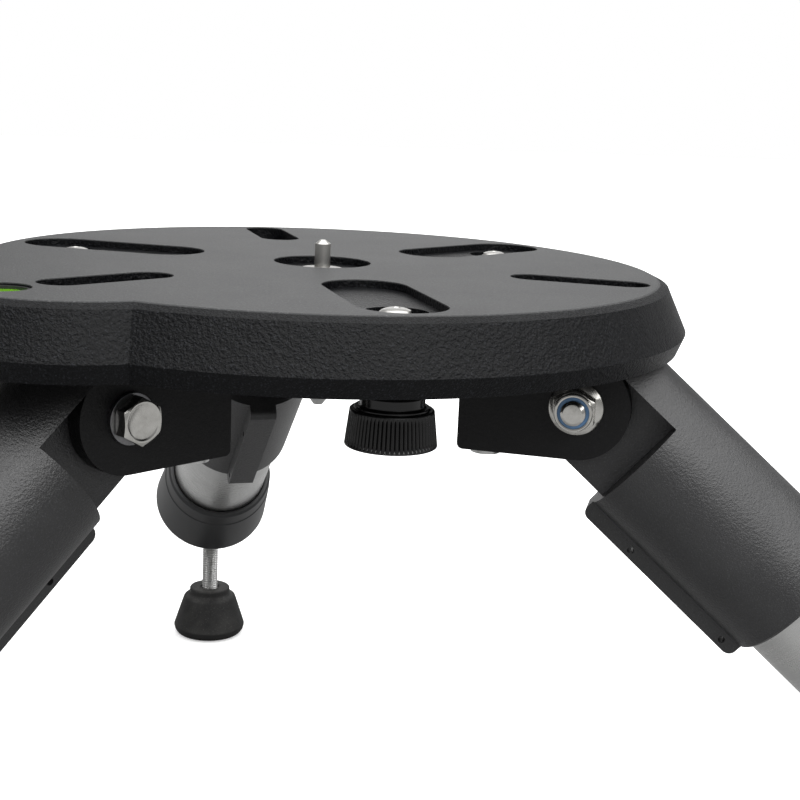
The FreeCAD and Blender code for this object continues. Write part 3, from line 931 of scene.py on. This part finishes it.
@dataclass
class HingeBolt:
    """A leg's hinge bolt and flanged nut, seen at both sides of its bracket."""

    paints: Paintbox
    leg: Leg
    thread: Thread = Thread(4.0, 1.25, 0.62)
    across: float = 13.0
    cheek: float = 17.0
    washer: float = 1.6
    head_height: float = 5.3
    nut_end: float = 24.3
    collar_end: float = 25.7
    ring_radius: float = 5.1
    end: float = -27.6
    thread_end: float = -15.9

    def bolt(self) -> bpy.types.Object:
        """The bolt: a threaded shank that grows into a hexagon head with a turned chamfer.

        Returns:
            The bolt's object.
        """
        seat_z = self.cheek + self.washer
        top = seat_z + self.head_height
        shank = self.thread.heights(self.end + 0.7, -16.0)
        bar = straight(self.thread.radius, shank)
        tip = np.array([[0.0, self.end], [2.7, self.end], [3.1, self.end + 0.08], [3.5, self.end + 0.4]])
        plain = np.array([[3.99, -15.4], [3.99, seat_z - 0.02]])
        under = np.array([[5.9, seat_z], [6.3, seat_z + 0.04], [6.9, seat_z + 0.35], [8.0, seat_z + 0.7]])
        sides = straight(8.0, np.linspace(seat_z + 1.0, top - 1.6, 7))
        crown_r = np.linspace(7.5, 6.15, 8)
        crown = np.stack([crown_r, top - (crown_r - 6.15) * 0.5], axis=-1)
        face = np.array([[6.0, top], [5.6, top], [5.3, top - 0.12], [5.0, top - 0.2], [2.0, top - 0.2],
                         [0.0, top - 0.2]])
        profile = np.concatenate([tip, bar, plain, under, sides, crown, face])

        def shape(radius: np.ndarray, angle: np.ndarray, height: np.ndarray) -> np.ndarray:
            """Hexagon where the head is, thread where the shank is."""
            head = np.minimum(radius, hexagon_radius(angle, self.across))
            cut = self.thread.cut(radius, angle, height)
            return np.where(height > seat_z, head, np.where(height < self.thread_end, cut, radius))

        surface = Surface("hinge_bolt_" + self.leg.word, turned(profile, 96, shape))
        piece = surface.build(HingeLine(self.leg).bolt_seat(), 24.0)
        self.paints.paint(piece, "bolt_steel")
        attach(piece, "head")
        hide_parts("pivot_bolt_" + self.leg.word)
        return piece

    def nut(self) -> bpy.types.Object:
        """The flanged locking nut: a dished flange, a chamfered hexagon and a thin end collar.

        Returns:
            The nut's object.
        """
        seat, top, lip, ring = -self.cheek, -self.nut_end, -self.collar_end, self.ring_radius
        wall = np.array([[0.0, seat - 2.0], [4.0, seat - 2.0], [4.0, seat - 0.1], [4.6, seat], [8.5, seat],
                         [8.9, seat - 0.15], [9.0, seat - 0.5], [8.8, seat - 0.95], [8.1, seat - 1.5],
                         [7.72, seat - 1.95]])
        sides = straight(7.7, np.linspace(seat - 2.2, top + 1.5, 7))
        crown_r = np.linspace(7.45, 6.5, 6)
        crown = np.stack([crown_r, top + (crown_r - 6.5) * 0.55], axis=-1)
        collar = np.array([[6.3, top - 0.05], [6.22, top - 0.25], [6.2, lip + 0.35], [6.0, lip + 0.08],
                           [5.65, lip], [ring + 0.1, lip + 0.1], [ring, lip + 0.35], [ring, top + 0.85],
                           [4.0, top + 0.9], [0.0, top + 0.9]])
        profile = np.concatenate([wall, sides, crown, collar])

        def shape(radius: np.ndarray, angle: np.ndarray, height: np.ndarray) -> np.ndarray:
            """Cuts the six flats where the wrench goes, leaving the flange and collar round."""
            flat = (height < seat - 1.7) & (radius > 6.35)
            return np.where(flat, np.minimum(radius, hexagon_radius(angle, self.across)), radius)

        surface = Surface("hinge_nut_" + self.leg.word, turned(profile, 96, shape))
        piece = surface.build(HingeLine(self.leg).bolt_seat(), 24.0)
        self.paints.paint(piece, "bolt_steel")
        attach(piece, "head")
        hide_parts("pivot_nut_" + self.leg.word)
        return piece

    def build(self) -> None:
        """Makes both pieces."""
        report(self.bolt(), self.nut())


@dataclass
class CaptiveScrew:
    """A mounting screw: ribbed knob, threaded stud, retaining ring and thrust washer."""

    paints: Paintbox
    place: Place
    circle: float = 92.0
    thread: Thread = Thread(5.0, 1.5, 0.75)
    tip: float = -1.2
    stud_foot: float = -13.0
    neck: float = 9.5
    ribs: int = 64
    rib_depth: float = 0.28
    ribbed_above: float = 11.6
    grip_top: float = -30.5
    grip_bottom: float = -41.4
    grip_radii: tuple[float, float] = (12.3, 13.6)

    def knob(self) -> bpy.types.Object:
        """The knob: a smooth neck, a step, and a flared grip with upright ribs.

        Returns:
            The knob's object.
        """
        (top_r, low_r), top, low, neck = self.grip_radii, self.grip_top, self.grip_bottom, self.neck
        corners = [(0.0, low + 0.5), (9.0, low + 0.5), (10.2, low), (low_r, low), (top_r, top),
                   (11.0, top + 0.05), (11.0, -29.8), (neck, -29.75), (neck, -26.6), (neck - 0.7, -26.3),
                   (neck - 0.7, -25.5), (neck, -25.2), (neck, -22.2), (7.0, -22.15), (7.0, -9.4), (0.0, -9.35)]
        profile = rounded_profile(corners, 0.55)
        radii, heights = profile.T
        extra = np.linspace(low + 0.9, top - 0.9, 14)
        wall = np.stack([low_r + (extra - low) * (top_r - low_r) / (top - low), extra], axis=-1)
        keep = ~((radii > self.ribbed_above) & (heights > low + 0.8) & (heights < top - 0.8))
        past = np.arange(len(profile)) > int(np.argmax(radii))
        cut = int(np.nonzero(keep & past & (heights > low + 5.0))[0][0])
        profile = np.concatenate([profile[:cut][keep[:cut]], wall, profile[cut:][keep[cut:]]])

        def ribbed(radius: np.ndarray, angle: np.ndarray, height: np.ndarray) -> np.ndarray:
            """Takes a rounded groove between ribs: depth times how far the wave dips below its crest."""
            wave = np.abs(np.sin(angle * self.ribs / 2.0))
            ends = np.clip((np.minimum(height - low, top - height) - 0.6) / 0.8, 0.0, 1.0)
            groove = (1.0 - wave) ** 1.3 * self.rib_depth * 2.0
            return np.where(radius > self.ribbed_above, radius - groove * ends, radius)

        surface = Surface("grip_knob_" + self.place.word, turned(profile, self.ribs * 8, ribbed))
        piece = surface.build(upright(self.place.value, self.circle), 40.0)
        self.paints.paint(piece, "knob_gloss")
        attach(piece, "screw_knob_" + self.place.word)
        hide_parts("knob_" + self.place.word)
        return piece

    def stud(self) -> bpy.types.Object:
        """The stud: threaded, with a domed end and a small dimple.

        Returns:
            The stud's object.
        """
        turns = self.thread.heights(self.stud_foot, self.tip - 1.4)
        bar = straight(self.thread.radius, turns)
        foot = np.array([[0.0, self.stud_foot - 0.2], [4.2, self.stud_foot - 0.2]])
        sweep = np.linspace(4.15, 1.35, 8)
        dome = np.stack([sweep, self.tip - 0.95 * (sweep / 4.5) ** 2.6], axis=-1)
        dimple = np.array([[1.15, self.tip - 0.05], [0.95, self.tip - 0.35], [0.5, self.tip - 0.6],
                           [0.0, self.tip - 0.65]])
        profile = np.concatenate([foot, bar, dome, dimple])
        surface = Surface("threaded_stud_" + self.place.word, turned(profile, 64, self.thread.on_bar(4.9)))
        piece = surface.build(upright(self.place.value, self.circle), 38.0)
        self.paints.paint(piece, "pin_steel")
        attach(piece, "screw_knob_" + self.place.word)
        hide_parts("captive_bolt_" + self.place.word)
        return piece

    def build(self) -> None:
        """Makes the new pieces and finishes the ring and washer."""
        report(self.knob(), self.stud())
        self.paints.paint_node("retaining_ring_" + self.place.word, "ring_steel", 0.1)
        self.paints.paint_node("captive_washer_" + self.place.word, "washer_plastic", 0.1)


@dataclass
class TubeLeg:
    """A folding leg: cast collar, drawn tube, end cap, insert and bush."""

    paints: Paintbox
    leg: Leg
    tube_radius: float = 22.25
    tube_start: float = 88.0
    tube_end: float = 152.0
    cap_rim: float = 25.2
    cap_radius: float = 28.3
    cap_start: float = 143.5
    cap_end: float = 181.5

    def tube(self) -> bpy.types.Object:
        """The drawn tube, closed where the collar and cap hide its ends.

        Returns:
            The tube's object.
        """
        wall = straight(self.tube_radius, np.linspace(self.tube_start, self.tube_end, 12))
        ends = np.array([[0.0, self.tube_start], [0.0, self.tube_end]])
        profile = np.concatenate([ends[:1], wall, ends[1:]])
        surface = Surface("drawn_tube_" + self.leg.word, turned(profile, 128))
        piece = surface.build(HingeLine(self.leg).leg_seat(), 40.0)
        self.paints.paint(piece, "tube_steel")
        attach(piece, "leg_" + self.leg.word)
        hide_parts("leg_tube_" + self.leg.word)
        return piece

    def cap(self) -> bpy.types.Object:
        """The end cap: a moulded cup with a stepped lip, a soft outer edge and a shallow ring on its end.

        Returns:
            The cap's object.
        """
        lip, end, rim, radius = self.cap_start, self.cap_end, self.cap_rim, self.cap_radius
        corners = [(0.0, lip + 6.0), (22.3, lip + 6.0), (22.3, lip + 0.8), (22.9, lip), (rim - 0.9, lip),
                   (rim + 0.05, lip + 1.0), (rim + 0.6, lip + 8.6), (rim + 0.95, lip + 9.0),
                   (radius - 0.1, end - 2.6), (radius - 2.3, end), (19.5, end), (18.9, end - 0.5),
                   (18.1, end - 0.5), (17.5, end), (0.0, end)]
        profile = rounded_profile(corners, 1.1, 5)
        surface = Surface("moulded_cap_" + self.leg.word, turned(profile, 144))
        piece = surface.build(HingeLine(self.leg).leg_seat(), 42.0)
        self.paints.paint(piece, "cap_plastic")
        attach(piece, "leg_" + self.leg.word)
        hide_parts("leg_end_cap_" + self.leg.word)
        return piece

    def build(self) -> None:
        """Makes the new pieces and finishes the collar, insert and bush."""
        report(self.tube(), self.cap())
        self.paints.paint_node("leg_collar_" + self.leg.word, "collar_coat", 0.7)
        self.paints.paint_node("foot_insert_" + self.leg.word, "insert_brass", 0.15)
        self.paints.paint_node("pivot_bush_" + self.leg.word, "bush_bronze", 0.1)


@dataclass
class ScrewFoot:
    """A levelling foot: threaded rod and rubber pad."""

    paints: Paintbox
    leg: Leg
    radius: float = 230.0
    thread: Thread = Thread(4.0, 1.25, 0.62)
    rod_top: float = -134.0
    rod_bottom: float = -212.5
    pad_top: float = -200.2
    pad_bottom: float = -224.6

    def rod(self) -> bpy.types.Object:
        """The rod, threaded from end to end, with a coned lead at its hidden top.

        Returns:
            The rod's object.
        """
        turns = self.thread.heights(self.rod_bottom + 0.3, self.rod_top - 1.0)
        bar = straight(self.thread.radius, turns)
        foot = np.array([[0.0, self.rod_bottom], [3.3, self.rod_bottom]])
        lead = np.array([[3.3, self.rod_top - 0.5], [2.9, self.rod_top], [0.0, self.rod_top]])
        profile = np.concatenate([foot, bar, lead])
        surface = Surface("levelling_rod_" + self.leg.word, turned(profile, 40, self.thread.on_bar(3.9)))
        piece = surface.build(upright(self.leg.value, self.radius), 34.0)
        self.paints.paint(piece, "screw_steel")
        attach(piece, "foot_rod_" + self.leg.word)
        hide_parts("foot_rod_" + self.leg.word)
        return piece

    def pad(self) -> bpy.types.Object:
        """The pad: a short collar, a flaring skirt, a rolled rim and a shallow hollow underneath.

        Returns:
            The pad's object.
        """
        top, low = self.pad_top, self.pad_bottom
        corners = [(0.0, top - 0.9), (4.3, top - 0.9), (4.9, top), (10.3, top), (10.3, top - 3.4),
                   (13.1, top - 4.6), (14.4, top - 8.4), (17.8, top - 19.0), (18.28, top - 20.4),
                   (17.7, low + 1.8), (16.2, low), (13.2, low), (12.4, low + 0.7), (0.0, low + 0.7)]
        profile = rounded_profile(corners, 1.0, 5)
        surface = Surface("rubber_foot_" + self.leg.word, turned(profile, 112))
        piece = surface.build(upright(self.leg.value, self.radius), 48.0)
        self.paints.paint(piece, "foot_rubber")
        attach(piece, "foot_pad_" + self.leg.word)
        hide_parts("foot_pad_" + self.leg.word)
        return piece

    def build(self) -> None:
        """Makes both pieces."""
        report(self.rod(), self.pad())


# ------------------------------------------------------------------ studio

@dataclass
class Studio:
    """The floor, lights and camera."""

    eye: tuple[float, float, float] = (-0.1137, -0.4753, 0.0599)
    heading: float = 73.17
    dip: float = 12.41
    roll: float = 2.56
    lens: float = 64.08
    sensor: float = 36.0
    floor_drop: float = 0.0002
    floor_reach: float = 6.0
    paper: tuple[float, float, float] = (0.95, 0.95, 0.95)
    bounce: tuple[float, float, float] = (0.3, 0.3, 0.3)
    lift: float = 0.3
    glow: float = 0.3
    sun: float = 4.6
    sun_spread: float = 110.0
    sun_from: tuple[float, float, float] = (0.1, -0.3, 1.0)
    lamp_aim: tuple[float, float, float] = (0.0, 0.0, -0.05)
    lamps: tuple[tuple[str, tuple[float, float, float], float, float], ...] = field(default=(
        ("key", (0.25, -1.2, 1.1), 0.8, 5.0),
        ("back", (0.5, 1.7, 0.5), 1.2, 3.0),
    ))

    def floor(self) -> None:
        """A wide pale floor just under the feet."""
        low = float(CAD_BOX[0][2]) - self.floor_drop
        reach = self.floor_reach
        corners = [(-reach, -reach, low), (reach, -reach, low), (reach, reach, low), (-reach, reach, low)]
        mesh = bpy.data.meshes.new("studio_floor")
        mesh.from_pydata(corners, [], [(0, 1, 2, 3)])
        piece = add_object("studio_floor", mesh)
        material = bpy.data.materials.new("studio_paper")
        nodes = Nodes.cleared(material)
        seen, felt = nodes.add("ShaderNodeBsdfDiffuse"), nodes.add("ShaderNodeBsdfDiffuse")
        nodes.fill(seen, Color=self.paper)
        nodes.fill(felt, Color=self.bounce)
        lift, joined = nodes.add("ShaderNodeEmission"), nodes.add("ShaderNodeAddShader")
        nodes.fill(lift, Strength=self.lift)
        nodes.link(seen.outputs[0], joined.inputs[0])
        nodes.link(lift.outputs[0], joined.inputs[1])
        nodes.link(self._by_ray(nodes, felt.outputs[0], joined.outputs[0]),
                   nodes.add("ShaderNodeOutputMaterial").inputs["Surface"])
        mesh.materials.append(material)

    @staticmethod
    def _by_ray(nodes: Nodes, felt: bpy.types.NodeSocket, seen: bpy.types.NodeSocket) -> bpy.types.NodeSocket:
        """Shows one shader straight to the eye and lights the object with another.

        Args:
            nodes: the tree's helper.
            felt: the shader the object receives.
            seen: the shader looked at directly.

        Returns:
            The joined shader's socket.
        """
        pick = nodes.add("ShaderNodeMixShader")
        nodes.link(nodes.add("ShaderNodeLightPath").outputs["Is Camera Ray"], pick.inputs[0])
        nodes.link(felt, pick.inputs[1])
        nodes.link(seen, pick.inputs[2])
        return pick.outputs[0]

    def light(self) -> None:
        """A white backdrop, a dimmer even sky, a broad overhead sun and soft lamps aimed at the head."""
        world = bpy.data.worlds.new("studio_sky")
        nodes = Nodes.cleared(world)
        seen, felt = nodes.add("ShaderNodeBackground"), nodes.add("ShaderNodeBackground")
        nodes.fill(seen, Strength=1.0, Color=(1.0, 1.0, 1.0))
        nodes.fill(felt, Strength=self.glow, Color=(1.0, 1.0, 1.0))
        nodes.link(self._by_ray(nodes, felt.outputs[0], seen.outputs[0]),
                   nodes.add("ShaderNodeOutputWorld").inputs["Surface"])
        bpy.context.scene.world = world
        sun = bpy.data.lights.new("lamp_sun", "SUN")
        sun.energy = self.sun
        sun.angle = math.radians(self.sun_spread)
        add_object("lamp_sun", sun, look_along(-np.array(self.sun_from)))
        for name, place, size, power in self.lamps:
            lamp = bpy.data.lights.new("lamp_" + name, "AREA")
            lamp.shape = "DISK"
            lamp.size = size
            lamp.energy = power
            aim = np.array(self.lamp_aim) - np.array(place)
            add_object("lamp_" + name, lamp, Matrix.Translation(place) @ look_along(aim))

    def camera(self) -> None:
        """A camera at eye, turned to heading, dipped and rolled."""
        turn, dip, roll = (math.radians(a) for a in (self.heading, self.dip, self.roll))
        forward = np.array([math.cos(turn) * math.cos(dip), math.sin(turn) * math.cos(dip), -math.sin(dip)])
        right = np.array([math.sin(turn), -math.cos(turn), 0.0])
        up = np.cross(right, forward)
        right_rolled = right * math.cos(roll) + up * math.sin(roll)
        up_rolled = up * math.cos(roll) - right * math.sin(roll)
        lens = bpy.data.cameras.new("studio_camera")
        lens.lens = self.lens
        lens.sensor_width = self.sensor
        lens.clip_start = 0.01
        basis = np.eye(4)
        basis[:3, 0], basis[:3, 1], basis[:3, 2], basis[:3, 3] = right_rolled, up_rolled, -forward, self.eye
        bpy.context.scene.camera = add_object("studio_camera", lens, Matrix(basis.tolist()))

    def build(self) -> None:
        """Sets the floor, lights, camera and a plain colour response."""
        self.floor()
        self.light()
        self.camera()
        bpy.context.scene.view_settings.view_transform = "Standard"


def look_along(direction: np.ndarray) -> Matrix:
    """A turn that points a lamp's own -Z along a direction.

    Args:
        direction: where it should look.

    Returns:
        A 4x4 rotation.
    """
    back = -direction / np.linalg.norm(direction)
    side = np.cross([0.0, 0.0, 1.0], back)
    side = side / np.linalg.norm(side)
    basis = np.eye(4)
    basis[:3, 0], basis[:3, 1], basis[:3, 2] = side, np.cross(back, side), back
    return Matrix(basis.tolist())


def main() -> None:
    """Builds the sub-assemblies in order, then the studio."""
    logging.basicConfig(level=logging.INFO, format="%(name)s %(message)s")
    paints = Paintbox()
    Head(paints).dress()
    for leg in Leg:
        HingeBolt(paints, leg).build()
        TubeLeg(paints, leg).build()
        ScrewFoot(paints, leg).build()
    for place in Place:
        CaptiveScrew(paints, place).build()
    Studio().build()


if __name__ == "__main__":
    main()
